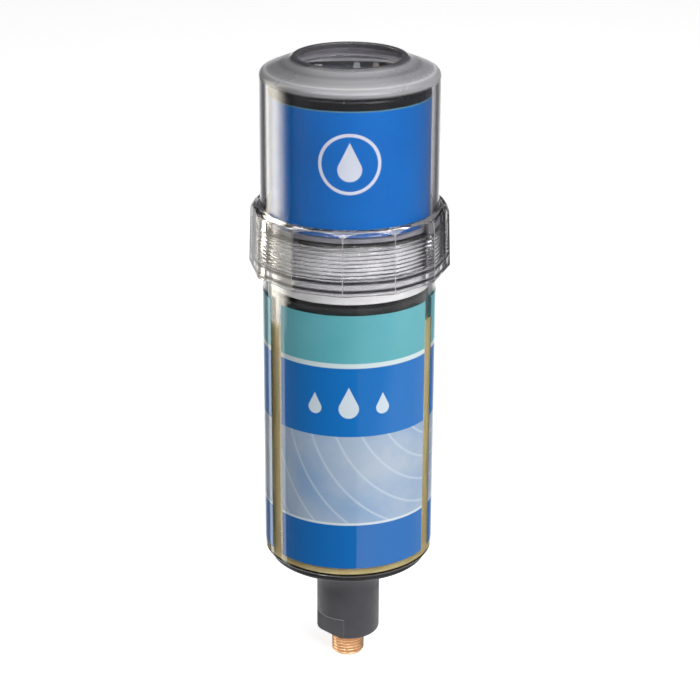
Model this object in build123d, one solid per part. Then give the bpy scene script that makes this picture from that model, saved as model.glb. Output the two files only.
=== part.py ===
from build123d import *
import os
from math import acos, asin, atan2, cos, degrees, hypot, pi, radians, sin, sqrt, tan

# Automatic lubricator: a clear canister of grease with a threaded outlet, a piston on a spindle, and a
# battery drive that stands in the canister's mouth under a clear cover, held down by a union nut.
# Sizes are in millimetres. Z is the canister's axis, and the origin lies on it in the lower face of the
# neck, where the outlet thread ends. The front of the object faces -Y, and bearings are degrees from the
# front towards +X.

# ---- Driving dimensions -------------------------------------------------------------------------------

# Outlet nipple: R 1/4 thread, with an insert that the neck is moulded round
thread_diameter = 13.157
nipple_length = 10.5
nipple_chamfer = 0.8
nipple_bore = 7.0
insert_diameter = 14.0
insert_length = 13.0
insert_groove_width = 3.0
insert_groove_depth = 0.8

# Outlet base: neck, wrench flats and the flange under the canister
neck_diameter = 25.0
neck_height = 35.5
neck_edge = 1.5
wrench_width = 20.0
wrench_height = 8.8
wrench_bearing = -45.0
flange_inset = 1.9
flange_thickness = 3.0
flange_edge = 1.5
flange_rim = 4.5

# Canister
canister_diameter = 65.8
canister_wall = 2.6
canister_floor = 2.0
canister_edge = 1.2
collar_step = 1.6
collar_height = 12.4
collar_run_out = 1.6
spout_diameter = 20.0
spout_bore = 16.0
spout_length = 12.5
spout_seal = 2.0
bearing_hub = 7.0
bearing_height = 4.0
bearing_rib = 1.8
bearing_ribs = 3

# Canister labels, with a clear window on each side
label_thickness = 0.12
label_margin = 4.3
label_height = 103.8
front_label_from = -50.6
front_label_to = 59.7
rear_label_from = 70.5
rear_label_to = 296.5

# Grease and piston; the stroke sweeps 250 cubic centimetres
stroke = 88.3
dead_height = 9.2
piston_height = 10.6
piston_clearance = 0.3
piston_crown = 2.5
piston_skirt = 2.0
piston_hub = 16.0
piston_rib = 1.2
piston_ribs = 6
piston_gap = 1.4
seal_width = 2.2
seal_depth = 1.7
seal_clearance = 0.05
seal_offset = 1.3

# Spindle
spindle_diameter = 8.0
spindle_clearance = 0.1
journal_diameter = 4.0
running_clearance = 0.05
head_diameter = 13.6
head_edge = 0.6
head_gap = 0.8
spindle_chamfer = 0.5
socket_depth = 3.0
hex_width = 7.6
hex_clearance = 0.2

# Drive base: the spigot that plugs into the canister's mouth
spigot_length = 23.5
spigot_clearance = 0.2
spigot_wall = 2.5
spigot_floor = 1.5
spigot_edge = 0.6
seat_width = 1.1
seat_thickness = 2.5
well_diameter = 16.0
well_wall = 1.5
well_depth = 4.5
drive_seal_section = 2.2
drive_seal_height = 10.0
post_diameter = 5.0
screw_diameter = 2.0
screw_head_diameter = 3.8
screw_head_height = 1.4
screw_length = 8.0
post_bearings = (30.0, 130.0, -110.0)

# Gears
pressure_angle = radians(20.0)
addendum = 0.8
dedendum = 1.25
backlash = 0.12
output_module = 0.8
output_teeth = 30
output_width = 3.5
output_pinion_teeth = 12
wheel_module = 0.6
wheel_teeth = 28
wheel_width = 2.5
motor_pinion_teeth = 12
gear_gap = 0.7
pinion_overlap = 0.3
axle_diameter = 3.0
axle_boss = 7.0
bush_wall = 1.8
output_shaft = 9.8
top_journal = 5.0

# Gear plate, motor and gearhead
plate_thickness = 1.5
plate_clearance = 0.3
plate_gap = 1.0
motor_offset = 13.5
gearhead_diameter = 20.0
gearhead_height = 12.0
gearhead_nose = 8.8
motor_diameter = 19.0
motor_height = 26.0
motor_cap_diameter = 10.0
motor_cap_height = 2.0
motor_shaft = 2.0
terminal_height = 4.0
terminal_width = 1.8
terminal_thickness = 0.5
terminal_spacing = 11.0

# Battery pack: three cells in a cradle
cell_diameter = 14.2
cell_length = 50.2
cell_terminal_diameter = 5.5
cell_terminal_height = 1.2
cell_edge = 0.6
cell_spacing = 60.0
cell_bearing = 180.0
cell_clearance = 0.2
cell_side_gap = 1.0
cradle_floor = 1.2
cradle_height = 40.0
cradle_front = 10.5
contact_thickness = 0.4
contact_width = 6.0

# Housing, circuit board and control panel
housing_inset = 0.1
housing_wall = 1.8
housing_edge = 1.5
lip_width = 2.0
lip_thickness = 1.8
board_thickness = 1.2
board_gap = 1.5
board_clearance = 1.5
panel_thickness = 1.2
panel_clearance = 0.2
panel_post_height = 3.7
panel_post_diameter = 4.0
panel_post_bearings = (0.0, 115.0, -115.0)
drive_label_gap = 0.3
drive_label_seam = 178.0
drive_label_top = 4.05

# Status lights, time dial and volume switch
light_diameter = 3.2
light_tip_diameter = 2.2
light_base_diameter = 3.8
light_rise = 1.5
light_clearance = 0.3
light_edge = 0.4
light_row = 14.0
light_places = (2.6, 9.8, 17.0)
dial_diameter = 14.0
dial_height = 1.4
dial_place = -6.0
dial_slot_width = 1.2
dial_slot_depth = 0.8
dial_stem = 4.0
dial_clearance = 0.3
switch_place = -12.2
switch_length = 3.2
switch_width = 2.4
switch_rise = 2.6
switch_travel = 4.0
switch_wall = 1.0
switch_clearance = 0.3

# Cover and its gasket
gasket_thickness = 1.3
gasket_width = 2.4
cover_foot = 0.8
cover_draft = 0.15
cover_wall = 1.8
cover_flange_thickness = 3.0
cover_edge = 2.2
headroom = 2.3
shoulder_height = 5.7
rim_diameter = 42.4
rim_width = 1.9
rim_flare_width = 1.8
rim_flare_height = 1.35
rim_fillet = 3.0
recess_depth = 4.85

# Union nut
nut_wall = 2.2
nut_sides = 12
nut_bearing = -3.75
nut_taper = 2.0
nut_height = 24.7
nut_lip = 2.3
nut_clearance = 0.25
nut_play = 0.1
nut_lead_height = 4.2
nut_lead_depth = 0.6
nut_bevel_height = 0.8
nut_bevel_width = 0.4
nut_shoulder_width = 3.2
nut_shoulder_drop = 3.2
nut_shoulder_radius = 3.3
nut_corner_fillet = 0.8

# ---- Derived places -----------------------------------------------------------------------------------

canister_radius = canister_diameter / 2
bore_radius = canister_radius - canister_wall
collar_radius = canister_radius + collar_step
flange_radius = canister_radius - flange_inset
neck_flare = flange_radius - flange_rim - neck_diameter / 2
spindle_hole = spindle_diameter / 2 + spindle_clearance

canister_low = neck_height + flange_thickness
floor_top = canister_low + canister_floor
piston_low = floor_top + dead_height + stroke
piston_top = piston_low + piston_height
spigot_low = piston_top + piston_gap
mouth = spigot_low + spigot_length
seat_top = mouth + seat_thickness

spout_low = canister_low - spout_length
socket_low = spout_low - spout_seal
bearing_low = floor_top - bearing_height
label_low = canister_low + label_margin

seal_low = piston_low + seal_offset
head_low = spigot_low + head_gap
head_top = spigot_low + well_depth - hex_clearance
spigot_radius = bore_radius - spigot_clearance
cavity_radius = spigot_radius - spigot_wall
cavity_low = spigot_low + spigot_floor
well_top = spigot_low + well_depth + well_wall
drive_seal_place = spigot_low + drive_seal_height

output_low = well_top + gear_gap
output_top = output_low + output_width
wheel_low = output_top + gear_gap
wheel_top = wheel_low + wheel_width
plate_low = wheel_top + plate_gap
plate_top = plate_low + plate_thickness
pinion_low = output_low - pinion_overlap / 2
motor_pinion_low = wheel_low - pinion_overlap
motor_pinion_top = wheel_top + pinion_overlap

output_distance = output_module * (output_teeth + output_pinion_teeth) / 2
wheel_distance = wheel_module * (wheel_teeth + motor_pinion_teeth) / 2
motor_y = -motor_offset
wheel_y = (wheel_distance**2 - output_distance**2 - motor_offset**2) / (2 * motor_offset)
wheel_x = -sqrt(output_distance**2 - wheel_y**2)
wheel_angle = degrees(atan2(wheel_y, wheel_x))
motor_angle = degrees(atan2(motor_y - wheel_y, -wheel_x))

housing_radius = bore_radius - housing_inset
housing_bore = housing_radius - housing_wall
cell_radius = cell_diameter / 2
cradle_radius = cavity_radius - plate_clearance
cell_circle = cradle_radius - cell_side_gap - cell_radius
contact_low = plate_top + cradle_floor
cell_low = contact_low + contact_thickness
cell_top = cell_low + cell_length
board_low = cell_top + contact_thickness + board_gap
board_top = board_low + board_thickness
panel_low = board_top + panel_post_height
panel_top = panel_low + panel_thickness
housing_top = panel_top + lip_thickness
light_top = housing_top + light_rise
board_radius = housing_bore - board_clearance
panel_post_circle = board_radius - panel_post_diameter

gasket_top = mouth + gasket_thickness
cover_flange_top = gasket_top + cover_flange_thickness
recess_under = housing_top + headroom
recess_top = recess_under + cover_wall
rim_top = recess_top + recess_depth
cover_base_radius = collar_radius - cover_foot
cover_top_radius = cover_base_radius - cover_draft

nut_lip_low = cover_flange_top + nut_play
nut_top = nut_lip_low + nut_lip
nut_low = nut_top - nut_height
nut_bevel_top = nut_low + nut_bevel_height
nut_side = cos(pi / nut_sides)
nut_bore = collar_radius + nut_clearance
nut_corner_radius = (nut_bore + nut_wall) / nut_side


# ---- Shapes shared by several pieces ------------------------------------------------------------------

def rod(radius, low, high, x=0, y=0):
    """An upright cylinder between two heights."""
    upright = (Align.CENTER, Align.CENTER, Align.MIN)
    return Pos(x, y, low) * Cylinder(radius, high - low, align=upright)


def tube(outer, inner, low, high, x=0, y=0):
    return rod(outer, low, high, x, y) - rod(inner, low, high, x, y)


def block(length, width, low, high, x=0, y=0):
    """An upright block between two heights, centred on x and y."""
    upright = (Align.CENTER, Align.CENTER, Align.MIN)
    return Pos(x, y, low) * Box(length, width, high - low, align=upright)


def hexagon(width, low, high):
    """A hexagonal prism, measured across its flats."""
    return Pos(0, 0, low) * extrude(RegularPolygon(width / 2, 6, major_radius=False), high - low)


def outline(*points):
    """A closed outline of straight sides, as (radius, height) points."""
    return make_face(Polyline(*points, close=True))


def rounded(face, radius, *points):
    """The outline with the corners at the given points rounded."""
    corners = [face.vertices().sort_by_distance((x, y, 0))[0] for x, y in points]
    return fillet(corners, radius)


def turned(face, arc=360):
    """A turned piece from an outline of radius and height."""
    return revolve(Plane.XZ * face, Axis.Z, revolution_arc=arc)


def bearing(radius, degrees_from_front):
    """The x and y of a place at a bearing from the front."""
    angle = radians(degrees_from_front)
    return radius * sin(angle), -radius * cos(angle)


def o_ring(outer_radius, section, height):
    return Pos(0, 0, height) * Torus(outer_radius - section / 2, section / 2)


def wrap(inner, outer, low, high, start, end):
    """A part of a tube between two bearings, such as a label."""
    strip = outline((inner, low), (outer, low), (outer, high), (inner, high))
    return Rot(0, 0, start - 90) * turned(strip, end - start)


def polar(radius, angle):
    return radius * cos(angle), radius * sin(angle)


def gear(teeth, module, low, high, turn):
    """A spur gear with involute teeth, one of which points at the given angle in degrees."""
    pitch = module * teeth / 2
    base = pitch * cos(pressure_angle)
    tip = pitch + addendum * module
    root = pitch - dedendum * module
    foot = max(base, root)

    def half_angle(radius):
        roll = acos(min(1.0, base / radius))
        thinning = backlash / (4 * pitch)
        return pi / (2 * teeth) - thinning + tan(pressure_angle) - pressure_angle - tan(roll) + roll

    flank = [(radius, half_angle(radius)) for radius in (foot, (foot + tip) / 2, tip)]
    edges = []
    for tooth in range(teeth):
        centre = 2 * pi * tooth / teeth
        rising = [polar(radius, centre - half) for radius, half in flank]
        falling = [polar(radius, centre + half) for radius, half in reversed(flank)]
        root_start = polar(root, centre - flank[0][1])
        root_end = polar(root, centre + flank[0][1])
        next_root = polar(root, centre + 2 * pi / teeth - flank[0][1])
        edges += [ThreePointArc(*rising), Line(rising[-1], falling[0]), ThreePointArc(*falling)]
        if root < base:
            edges += [Line(root_start, rising[0]), Line(falling[-1], root_end)]
        edges.append(Line(root_end, next_root))
    return Pos(0, 0, low) * Rot(0, 0, turn) * extrude(make_face(edges), high - low)


# ---- Outlet and canister ------------------------------------------------------------------------------

def nipple_outline():
    thread = thread_diameter / 2
    insert = insert_diameter / 2
    groove = insert - insert_groove_depth
    groove_low = (insert_length - insert_groove_width) / 2
    groove_high = groove_low + insert_groove_width
    return outline(
        (0, -nipple_length), (thread - nipple_chamfer, -nipple_length),
        (thread, nipple_chamfer - nipple_length),
        (thread, 0), (insert, 0), (insert, groove_low), (groove, groove_low), (groove, groove_high),
        (insert, groove_high), (insert, insert_length), (0, insert_length),
    )


def outlet_nipple():
    return turned(nipple_outline()) - rod(nipple_bore / 2, -nipple_length, insert_length)


def outlet_base():
    neck = neck_diameter / 2
    flange = flange_radius
    flange_low = neck_height
    face = outline((0, 0), (neck, 0), (neck, flange_low), (flange, flange_low), (flange, canister_low),
                   (0, canister_low))
    face = rounded(face, neck_edge, (neck, 0))
    face = rounded(face, neck_flare, (neck, flange_low))
    face = rounded(face, flange_edge, (flange, flange_low))
    body = turned(face) - turned(nipple_outline())
    body -= rod(spout_diameter / 2, socket_low, canister_low)
    body -= rod(nipple_bore / 2, insert_length, socket_low)
    cut = neck - wrench_width / 2
    for side in (wrench_bearing, wrench_bearing + 180):
        slab = block(cut, neck_diameter, -neck_edge, wrench_height, wrench_width / 2 + cut / 2)
        body -= Rot(0, 0, side - 90) * slab
    return body


def outlet_seal():
    return o_ring(spout_diameter / 2, spout_seal, socket_low + spout_seal / 2)


def canister():
    wall = canister_radius
    spout = spout_diameter / 2
    collar_low = mouth - collar_height
    face = outline(
        (spout_bore / 2, spout_low), (spout, spout_low), (spout, canister_low), (wall, canister_low),
        (wall, collar_low - collar_run_out), (collar_radius, collar_low), (collar_radius, mouth),
        (bore_radius, mouth), (bore_radius, floor_top), (spout_bore / 2, floor_top),
    )
    face = rounded(face, canister_edge, (wall, canister_low))
    body = turned(face)
    hub = bearing_hub / 2
    reach = (spout_bore / 2 + spout) / 2
    for number in range(bearing_ribs):
        rib = block(reach - hub / 2, bearing_rib, bearing_low, floor_top, (reach + hub / 2) / 2)
        body += Rot(0, 0, number * 360 / bearing_ribs) * rib
    body += rod(hub, bearing_low, floor_top)
    return body - rod(journal_diameter / 2 + running_clearance, bearing_low, floor_top)


def canister_label(start, end):
    outer = canister_radius + label_thickness
    return wrap(canister_radius, outer, label_low, label_low + label_height, start, end)


def grease_fill():
    return tube(bore_radius, spindle_hole, floor_top, piston_low)


# ---- Piston and spindle -------------------------------------------------------------------------------

def piston():
    outer = bore_radius - piston_clearance
    hub = piston_hub / 2
    inner = outer - piston_skirt - seal_depth
    crown_top = piston_low + seal_offset + seal_width + piston_crown / 2
    face = outline(
        (spindle_hole, piston_low), (outer, piston_low), (outer, piston_top),
        (outer - piston_skirt, piston_top), (outer - piston_skirt, crown_top + seal_depth),
        (inner, crown_top), (inner, piston_low + piston_crown),
        (hub, piston_low + piston_crown), (hub, piston_top), (spindle_hole, piston_top),
    )
    body = turned(face)
    rib_length = inner - hub + piston_skirt
    for number in range(piston_ribs):
        rib = block(rib_length, piston_rib, piston_low + piston_crown / 2, crown_top, (inner + hub) / 2)
        body += Rot(0, 0, (number + 0.5) * 360 / piston_ribs) * rib
    return body - tube(outer + piston_skirt, outer - seal_depth, seal_low, seal_low + seal_width)


def piston_seal():
    outer = bore_radius - seal_clearance
    inner = bore_radius - piston_clearance - seal_depth
    lip = seal_width / 3
    face = outline(
        (inner, seal_low), (outer - lip, seal_low), (outer, seal_low + lip / 2), (outer, seal_low + lip),
        (outer - lip / 2, seal_low + seal_width / 2), (outer, seal_low + seal_width - lip),
        (outer, seal_low + seal_width - lip / 2), (outer - lip, seal_low + seal_width),
        (inner, seal_low + seal_width),
    )
    return turned(face)


def spindle():
    shank = spindle_diameter / 2
    journal = journal_diameter / 2
    shoulder = floor_top + spindle_clearance
    face = outline(
        (0, bearing_low), (journal, bearing_low), (journal, shoulder),
        (shank - spindle_chamfer, shoulder), (shank, shoulder + spindle_chamfer),
        (shank, head_low), (head_diameter / 2, head_low),
        (head_diameter / 2, head_top), (0, head_top),
    )
    face = rounded(face, head_edge, (head_diameter / 2, head_low), (head_diameter / 2, head_top))
    return turned(face) - hexagon(hex_width + 2 * hex_clearance, head_top - socket_depth, head_top)


# ---- Drive: base, gears and motor ---------------------------------------------------------------------

def drive_base():
    well = well_diameter / 2
    bush = output_shaft / 2 + running_clearance + bush_wall
    seat = bore_radius + seat_width
    face = outline(
        (bush, spigot_low + well_depth), (well, spigot_low + well_depth), (well, spigot_low),
        (spigot_radius, spigot_low), (spigot_radius, mouth), (seat, mouth), (seat, seat_top),
        (cavity_radius, seat_top), (cavity_radius, cavity_low), (well + well_wall, cavity_low),
        (well + well_wall, well_top), (bush, well_top),
    )
    face = rounded(face, spigot_edge, (spigot_radius, spigot_low))
    body = turned(face)
    body += rod(axle_boss / 2, cavity_low, pinion_low - running_clearance, wheel_x, wheel_y)
    body -= rod(axle_diameter / 2, spigot_low, pinion_low, wheel_x, wheel_y)
    for x, y in post_places():
        body += rod(post_diameter / 2, cavity_low, plate_low, x, y)
        body -= rod(screw_diameter / 2, plate_low - screw_length, plate_low, x, y)
    groove = bore_radius - seal_clearance - drive_seal_section
    half = drive_seal_section / 2
    return body - tube(bore_radius, groove, drive_seal_place - half, drive_seal_place + half)


def drive_seal():
    return o_ring(bore_radius - seal_clearance, drive_seal_section, drive_seal_place)


def post_places():
    """The screw posts stand just inside the spigot's wall."""
    circle = cavity_radius - post_diameter / 2 - plate_clearance
    return [bearing(circle, angle) for angle in post_bearings]


def output_bush():
    shaft = output_shaft / 2 + running_clearance
    return tube(shaft + bush_wall, shaft, spigot_low + well_depth, output_low - running_clearance)


def output_gear():
    shaft = output_shaft / 2
    body = gear(output_teeth, output_module, output_low, output_top, wheel_angle)
    body += rod(shaft, spigot_low + well_depth, output_low)
    body += rod(top_journal / 2, output_top, plate_top)
    body += rod(shaft, output_top, wheel_top)
    return body + hexagon(hex_width, head_top - socket_depth + hex_clearance, spigot_low + well_depth)


def reduction_gear():
    pinion_turn = wheel_angle + 180 + 180 / output_pinion_teeth
    body = gear(output_pinion_teeth, output_module, pinion_low, wheel_low, pinion_turn)
    body += gear(wheel_teeth, wheel_module, wheel_low, wheel_top, motor_angle)
    body += rod(axle_boss / 2, wheel_top, plate_low - running_clearance * 2)
    body = Pos(wheel_x, wheel_y, 0) * body
    return body - rod(axle_diameter / 2 + running_clearance, pinion_low, plate_low, wheel_x, wheel_y)


def gear_axle():
    return rod(axle_diameter / 2, spigot_low, plate_top, wheel_x, wheel_y)


def motor_pinion():
    turn = motor_angle + 180 + 180 / motor_pinion_teeth
    body = gear(motor_pinion_teeth, wheel_module, motor_pinion_low, motor_pinion_top, turn)
    body += rod(motor_shaft / 2, motor_pinion_low, plate_top + gearhead_height / 4)
    return Pos(0, motor_y, 0) * body


def gear_plate():
    body = rod(cradle_radius, plate_low, plate_top)
    body -= rod(gearhead_nose / 2, plate_low, plate_top, 0, motor_y)
    body -= rod(axle_diameter / 2, plate_low, plate_top, wheel_x, wheel_y)
    body -= rod(top_journal / 2 + running_clearance, plate_low, plate_top)
    for x, y in post_places():
        body -= rod(screw_diameter / 2, plate_low, plate_top, x, y)
    return body


def plate_screws():
    screws = []
    for x, y in post_places():
        shank = rod(screw_diameter / 2, plate_top - screw_length, plate_top, x, y)
        head = rod(screw_head_diameter / 2, plate_top, plate_top + screw_head_height, x, y)
        slot = block(screw_head_diameter, screw_diameter / 4, plate_top + screw_head_height / 2,
                     plate_top + screw_head_height, x, y)
        screws.append(shank + head - slot)
    return Compound(children=screws)


def gearhead():
    body = rod(gearhead_nose / 2, plate_low, plate_top, 0, motor_y)
    body += rod(gearhead_diameter / 2, plate_top, plate_top + gearhead_height, 0, motor_y)
    shaft_top = plate_top + gearhead_height / 4
    return body - rod(motor_shaft / 2 + running_clearance, plate_low, shaft_top, 0, motor_y)


def drive_motor():
    low = plate_top + gearhead_height
    high = low + motor_height
    cap = high + motor_cap_height
    body = rod(motor_diameter / 2, low, high, 0, motor_y)
    rim = body.edges().group_by(Axis.Z)[-1]
    body = fillet(rim, motor_cap_height / 2)
    body += rod(motor_cap_diameter / 2, high - motor_cap_height, cap, 0, motor_y)
    for side in (-1, 1):
        place = side * terminal_spacing / 2
        body += block(terminal_thickness, terminal_width, high - terminal_height / 2,
                      high + terminal_height, place, motor_y)
    return body


# ---- Drive: battery pack ------------------------------------------------------------------------------

def cell_places():
    """The three cells stand in an arc behind the motor."""
    return [bearing(cell_circle, cell_bearing + step * cell_spacing) for step in (-1, 0, 1)]


def battery_cell(x, y):
    shoulder = cell_top - cell_terminal_height
    face = outline(
        (0, cell_low), (cell_radius, cell_low), (cell_radius, shoulder),
        (cell_terminal_diameter / 2, shoulder), (cell_terminal_diameter / 2, cell_top), (0, cell_top),
    )
    face = rounded(face, cell_edge, (cell_radius, cell_low), (cell_radius, shoulder))
    return Pos(x, y, 0) * turned(face)


def battery_cradle():
    """A moulded cradle with a round pocket for each cell, open towards the motor."""
    side = cell_spacing + degrees(asin((cell_radius + plate_clearance) / cell_circle))
    start, end = cell_bearing - side, cell_bearing + side
    body = wrap(cradle_front, cradle_radius, plate_top, plate_top + cradle_height, start, end)
    for x, y in cell_places():
        body -= rod(cell_radius + cell_clearance, contact_low, plate_top + cradle_height, x, y)
    body -= contact_strip(*cell_places()[:2], contact_low)
    motor_room = max(gearhead_diameter, motor_diameter) / 2 + plate_clearance
    body -= rod(motor_room, plate_top, plate_top + cradle_height, 0, motor_y)
    for x, y in post_places():
        body -= rod(screw_head_diameter / 2 + plate_clearance, plate_top,
                    plate_top + screw_head_height + plate_clearance, x, y)
    return body


def contact_strip(first, second, low):
    """A sheet contact that links two cells, or ends on one."""
    (x1, y1), (x2, y2) = first, second
    length = hypot(x2 - x1, y2 - y1) + contact_width
    turn = degrees(atan2(y2 - y1, x2 - x1))
    strip = extrude(SlotOverall(length, contact_width), contact_thickness)
    return Pos((x1 + x2) / 2, (y1 + y2) / 2, low) * Rot(0, 0, turn) * strip


def contact_pad(place, low):
    x, y = place
    return rod(contact_width / 2, low, low + contact_thickness, x, y)


# ---- Drive: housing, board and controls ---------------------------------------------------------------

def drive_housing():
    lip = housing_bore - lip_width
    face = outline(
        (housing_bore, seat_top), (housing_radius, seat_top), (housing_radius, housing_top),
        (lip, housing_top), (lip, panel_top), (housing_bore, panel_top),
    )
    face = rounded(face, housing_edge, (housing_radius, housing_top))
    return turned(face)


def drive_label():
    high = housing_top - drive_label_top
    low = seat_top + drive_label_gap
    seam = drive_label_seam
    return wrap(housing_radius, housing_radius + label_thickness, low, high, -seam, seam)


def panel_post_places():
    return [bearing(panel_post_circle, angle) for angle in panel_post_bearings]


def circuit_board():
    """The board, with its pins to the battery contacts and the bodies of the dial and slide switches."""
    body = rod(board_radius, board_low, board_top)
    first, _, last = cell_places()
    for x, y in (first, last):
        body += rod(contact_width / 6, cell_top + contact_thickness, board_low, x, y)
    stem = dial_stem / 2
    body += tube(stem + 2 * board_thickness, stem + dial_clearance, board_top,
                 board_top + panel_post_height / 2, 0, dial_place)
    length = switch_length + switch_travel + 2 * switch_wall
    body += block(length, switch_width + 2 * switch_wall, board_top, board_top + board_thickness,
                  switch_place + switch_travel / 2, light_row)
    for x, y in panel_post_places():
        body -= rod(screw_diameter / 2, board_low, board_top, x, y)
    return body


def board_screws():
    screws = []
    for x, y in panel_post_places():
        shank = rod(screw_diameter / 2, board_low, board_top + panel_post_height / 2, x, y)
        head = rod(screw_head_diameter / 2, board_low - screw_head_height, board_low, x, y)
        screws.append(shank + head)
    return Compound(children=screws)


def control_panel():
    body = rod(housing_bore - panel_clearance, panel_low, panel_top)
    for x, y in panel_post_places():
        body += rod(panel_post_diameter / 2, board_top, panel_low, x, y)
        body -= rod(screw_diameter / 2, board_top, board_top + panel_post_height / 2, x, y)
    for x in light_places:
        body -= rod((light_diameter + light_clearance) / 2, panel_low, panel_top, x, light_row)
    body -= rod(dial_stem / 2 + dial_clearance, panel_low, panel_top, 0, dial_place)
    slot_length = switch_length + switch_travel + 2 * switch_clearance
    return body - block(slot_length, switch_width + 2 * switch_clearance, panel_low, panel_top,
                        switch_place + switch_travel / 2, light_row)


def status_light(x):
    base, stem, tip = light_base_diameter / 2, light_diameter / 2, light_tip_diameter / 2
    base_top = board_top + board_thickness
    face = outline(
        (0, board_top), (base, board_top), (base, base_top), (stem, base_top), (stem, panel_top),
        (tip, light_top), (0, light_top),
    )
    face = rounded(face, light_edge, (tip, light_top))
    return Pos(x, light_row, 0) * turned(face)


def time_dial():
    low = panel_top + dial_clearance
    high = low + dial_height
    body = rod(dial_diameter / 2, low, high)
    body = chamfer(body.edges().group_by(Axis.Z)[-1], dial_height / 4)
    body += rod(dial_stem / 2, board_top + dial_clearance, low)
    body -= block(dial_slot_width, dial_diameter - dial_stem, high - dial_slot_depth, high)
    return Pos(0, dial_place, 0) * body


def volume_switch():
    low = board_top + board_thickness + switch_clearance
    high = panel_top + switch_rise
    body = block(switch_length, switch_width, low, high, switch_place, light_row)
    return chamfer(body.edges().group_by(Axis.Z)[-1], switch_width / 8)


# ---- Cover and union nut ------------------------------------------------------------------------------

def cover():
    """The clear cover: a drawn-in wall with a foot flange, a domed shoulder and a rim round its recess."""
    wall_low, wall_high = cover_base_radius, cover_top_radius
    rim = rim_diameter / 2
    recess = rim - rim_width
    corner = rim_top - shoulder_height
    flare = (rim + rim_flare_width, rim_top - rim_flare_height)
    shell = outline(
        (0, gasket_top), (wall_low, gasket_top), (wall_low, cover_flange_top), (wall_high, corner), flare,
        (rim, rim_top), (recess, rim_top), (recess, recess_top), (0, recess_top),
    )
    shell = rounded(shell, cover_edge, (wall_high, corner))
    shell = rounded(shell, rim_fillet, flare)
    shell = rounded(shell, rim_width / 4, (rim, rim_top), (recess, rim_top))
    under_flare = (recess + cover_wall, flare[1] - cover_wall / 2)
    under_corner = (wall_high - cover_wall, corner - cover_wall / 2)
    hollow = outline(
        (0, gasket_top), (wall_low - cover_wall, gasket_top), under_corner, under_flare,
        (under_flare[0], recess_under), (0, recess_under),
    )
    hollow = rounded(hollow, cover_edge / 2, under_corner)
    foot = tube(collar_radius, wall_low - cover_wall / 2, gasket_top, cover_flange_top)
    return turned(shell) + foot - turned(hollow)


def cover_gasket():
    return tube(collar_radius, collar_radius - gasket_width, mouth, gasket_top)


def union_nut():
    corner = nut_corner_radius
    bevel = corner - nut_bevel_width / nut_side
    section = fillet(RegularPolygon(corner, nut_sides).vertices(), nut_corner_fillet)
    grip = Pos(0, 0, nut_bevel_top) * extrude(section, nut_top - nut_bevel_top, taper=nut_taper)
    foot = fillet(RegularPolygon(bevel, nut_sides).vertices(), nut_corner_fillet)
    grip += loft([Pos(0, 0, nut_low) * foot, Pos(0, 0, nut_bevel_top) * section])
    grip = Rot(0, 0, nut_bearing - 90) * grip
    hole = cover_base_radius + nut_clearance
    fall = nut_top - nut_shoulder_drop
    start = corner - (fall - nut_bevel_top) * tan(radians(nut_taper))
    crest = start - nut_shoulder_width
    shoulder = RadiusArc((crest, nut_top), (start, fall), nut_shoulder_radius)
    sides = Polyline((start, fall), (corner, fall), (corner, nut_low), (0, nut_low), (0, nut_top), (crest, nut_top))
    grip &= turned(make_face([shoulder, *sides.edges()]))
    grip -= rod(nut_bore + nut_lead_depth, nut_low, nut_low + nut_lead_height)
    return grip - rod(nut_bore, nut_low, nut_lip_low) - rod(hole, nut_lip_low, nut_top)


# ---- Build --------------------------------------------------------------------------------------------

def nodes():
    cells = cell_places()
    lights = dict(zip(("green_light", "yellow_light", "red_light"), light_places))
    pieces = {
        "outlet_nipple": outlet_nipple(),
        "outlet_base": outlet_base(),
        "outlet_seal": outlet_seal(),
        "canister": canister(),
        "front_label": canister_label(front_label_from, front_label_to),
        "rear_label": canister_label(rear_label_from, rear_label_to),
        "grease_fill": grease_fill(),
        "piston": piston(),
        "piston_seal": piston_seal(),
        "spindle": spindle(),
        "drive_base": drive_base(),
        "drive_seal": drive_seal(),
        "output_bush": output_bush(),
        "output_gear": output_gear(),
        "reduction_gear": reduction_gear(),
        "gear_axle": gear_axle(),
        "motor_pinion": motor_pinion(),
        "gear_plate": gear_plate(),
        "plate_screws": plate_screws(),
        "gearhead": gearhead(),
        "drive_motor": drive_motor(),
        "battery_cradle": battery_cradle(),
        "lower_contact": contact_strip(cells[0], cells[1], contact_low),
        "lower_end_contact": contact_pad(cells[2], contact_low),
        "upper_contact": contact_strip(cells[1], cells[2], cell_top),
        "upper_end_contact": contact_pad(cells[0], cell_top),
        "circuit_board": circuit_board(),
        "board_screws": board_screws(),
        "drive_housing": drive_housing(),
        "drive_label": drive_label(),
        "control_panel": control_panel(),
        "time_dial": time_dial(),
        "volume_switch": volume_switch(),
        "cover_gasket": cover_gasket(),
        "cover": cover(),
        "union_nut": union_nut(),
    }
    for number, (x, y) in enumerate(cells, 1):
        pieces[f"battery_cell_{number}"] = battery_cell(x, y)
    for name, x in lights.items():
        pieces[name] = status_light(x)
    return pieces


os.makedirs("parts", exist_ok=True)
for name, piece in nodes().items():
    export_step(piece, f"parts/{name}.step")
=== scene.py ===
from math import acos, asin, atan2, cos, degrees, hypot, pi, radians, sin, sqrt, tan

import bmesh
import bpy
from mathutils import Matrix, Vector


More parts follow.
